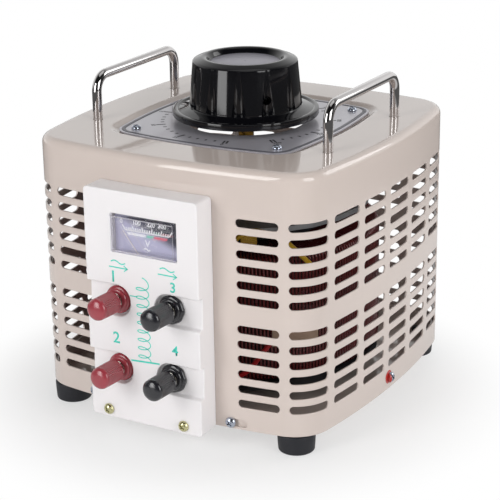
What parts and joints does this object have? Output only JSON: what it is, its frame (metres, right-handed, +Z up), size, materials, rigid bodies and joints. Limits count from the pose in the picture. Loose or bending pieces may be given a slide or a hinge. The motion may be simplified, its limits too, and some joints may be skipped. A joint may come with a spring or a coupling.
{
  "type": "variable autotransformer",
  "caption": "Bench variable autotransformer in a slotted, bowed steel case, with a top dial and knob, rod carrying handles, a front voltmeter and screw-cap binding posts.",
  "frame": {"origin": "middle of the whole object on the floor plane, under its feet", "axes": "+X to the right of the case seen from the front, +Y towards its back, +Z up; the terminal panel faces -Y"},
  "size_m": [0.2106, 0.2436, 0.2127],
  "materials": {
    "beige_enamel": "gloss",
    "black_rubber": "matte",
    "chromed_steel": "polished",
    "zinc_plated_steel": "bright zinc",
    "yellow_zinc_plated_steel": "yellow zinc",
    "printed_aluminium": "satin, printed",
    "black_bakelite": "gloss",
    "ground_steel": "ground",
    "turned_brass": "turned",
    "bearing_bronze": "sintered",
    "cast_aluminium": "cast",
    "wound_silicon_steel": "wound strip",
    "enamelled_copper": "enamelled wire",
    "black_fibre_board": "matte",
    "graphite": "pressed carbon",
    "white_abs": "semi-gloss",
    "black_styrene": "semi-gloss",
    "printed_meter_face": "satin, printed",
    "clear_styrene": "clear",
    "white_lacquer": "satin",
    "red_phenolic": "semi-gloss",
    "black_phenolic": "semi-gloss",
    "nickel_plated_brass": "nickel plated",
    "red_insulation": "extruded",
    "yellow_insulation": "extruded"
  },
  "bodies": {
    "case": {"cover": "beige_enamel", "base_tray": "beige_enamel", "foot_front_left": "black_rubber", "foot_front_right": "black_rubber", "foot_rear_left": "black_rubber", "foot_rear_right": "black_rubber", "handle_left": "chromed_steel", "handle_right": "chromed_steel", "dial_plate": "printed_aluminium", "dial_screw_front_left": "zinc_plated_steel", "dial_screw_front_right": "zinc_plated_steel", "dial_screw_rear_left": "zinc_plated_steel", "dial_screw_rear_right": "zinc_plated_steel", "case_screw_front_left": "zinc_plated_steel", "case_screw_front_right": "zinc_plated_steel", "case_screw_side_left": "zinc_plated_steel", "case_screw_side_right": "zinc_plated_steel", "clamp_plate": "zinc_plated_steel", "panel_screw_left": "yellow_zinc_plated_steel", "panel_screw_right": "yellow_zinc_plated_steel", "lower_bearing": "bearing_bronze", "upper_bearing": "bearing_bronze", "pedestal": "cast_aluminium", "core": "wound_silicon_steel", "winding": "enamelled_copper", "lower_insulating_ring": "black_fibre_board", "upper_insulating_ring": "black_fibre_board", "front_panel": "white_abs", "meter_case": "black_styrene", "meter_face": "printed_meter_face", "meter_glass": "clear_styrene", "post_base_lower_left": "red_phenolic", "post_stem_lower_left": "nickel_plated_brass", "post_base_lower_right": "black_phenolic", "post_stem_lower_right": "nickel_plated_brass", "post_base_upper_left": "red_phenolic", "post_stem_upper_left": "nickel_plated_brass", "post_base_upper_right": "black_phenolic", "post_stem_upper_right": "nickel_plated_brass", "red_lead": "red_insulation", "yellow_lead": "yellow_insulation"},
    "rotor": {"knob": "black_bakelite", "knob_set_screw": "ground_steel", "shaft": "ground_steel", "shaft_collar": "turned_brass", "brush_arm": "cast_aluminium", "brush_holder": "turned_brass", "brush_spring": "ground_steel"},
    "brush": {"carbon_brush": "graphite"},
    "needle": {"meter_needle": "white_lacquer"},
    "insert_lower_left": {"post_insert_lower_left": "nickel_plated_brass"},
    "cap_lower_left": {"post_cap_lower_left": "red_phenolic"},
    "insert_lower_right": {"post_insert_lower_right": "nickel_plated_brass"},
    "cap_lower_right": {"post_cap_lower_right": "black_phenolic"},
    "insert_upper_left": {"post_insert_upper_left": "nickel_plated_brass"},
    "cap_upper_left": {"post_cap_upper_left": "red_phenolic"},
    "insert_upper_right": {"post_insert_upper_right": "nickel_plated_brass"},
    "cap_upper_right": {"post_cap_upper_right": "black_phenolic"}
  },
  "joints": [
    {"name": "knob_turn", "type": "hinge", "parent": "case", "child": "rotor", "pos_m": [0, 0.0188, 0.1774], "axis": [0, 0, -1], "range_deg": [0, 327]},
    {"name": "brush_slide", "type": "slide", "parent": "rotor", "child": "brush", "axis": [0, 0, 1], "range_m": [0, 0.0015], "stiffness_N_per_m": 300, "springref_m": -0.004, "deforming": ["brush_spring"]},
    {"name": "needle_swing", "type": "hinge", "parent": "case", "child": "needle", "pos_m": [-0.0012, -0.0948, 0.1086], "axis": [0, 1, 0], "range_deg": [0, 76.4]},
    {"name": "travel_lower_left", "type": "slide", "parent": "case", "child": "insert_lower_left", "axis": [0, -0.999, 0.0436], "range_m": [0, 0.0064]},
    {"name": "unscrew_lower_left", "type": "hinge", "parent": "insert_lower_left", "child": "cap_lower_left", "pos_m": [-0.022, -0.09543, 0.0437], "axis": [0, -0.999, 0.0436], "range_deg": [0, 2881]},
    {"name": "travel_lower_right", "type": "slide", "parent": "case", "child": "insert_lower_right", "axis": [0, -0.999, 0.0436], "range_m": [0, 0.0064]},
    {"name": "unscrew_lower_right", "type": "hinge", "parent": "insert_lower_right", "child": "cap_lower_right", "pos_m": [0.0148, -0.09543, 0.0437], "axis": [0, -0.999, 0.0436], "range_deg": [0, 2881]},
    {"name": "travel_upper_left", "type": "slide", "parent": "case", "child": "insert_upper_left", "axis": [0, -0.999, 0.0436], "range_m": [0, 0.0064]},
    {"name": "unscrew_upper_left", "type": "hinge", "parent": "insert_upper_left", "child": "cap_upper_left", "pos_m": [-0.022, -0.09543, 0.0871], "axis": [0, -0.999, 0.0436], "range_deg": [0, 2881]},
    {"name": "travel_upper_right", "type": "slide", "parent": "case", "child": "insert_upper_right", "axis": [0, -0.999, 0.0436], "range_m": [0, 0.0064]},
    {"name": "unscrew_upper_right", "type": "hinge", "parent": "insert_upper_right", "child": "cap_upper_right", "pos_m": [0.0148, -0.09543, 0.0871], "axis": [0, -0.999, 0.0436], "range_deg": [0, 2881]}
  ],
  "couplings": [
    {"joint": "needle_swing", "follows": "knob_turn", "ratio": 0.1945},
    {"joint": "unscrew_lower_left", "follows": "travel_lower_left", "rad_per_m": 7854},
    {"joint": "unscrew_lower_right", "follows": "travel_lower_right", "rad_per_m": 7854},
    {"joint": "unscrew_upper_left", "follows": "travel_upper_left", "rad_per_m": 7854},
    {"joint": "unscrew_upper_right", "follows": "travel_upper_right", "rad_per_m": 7854}
  ]
}
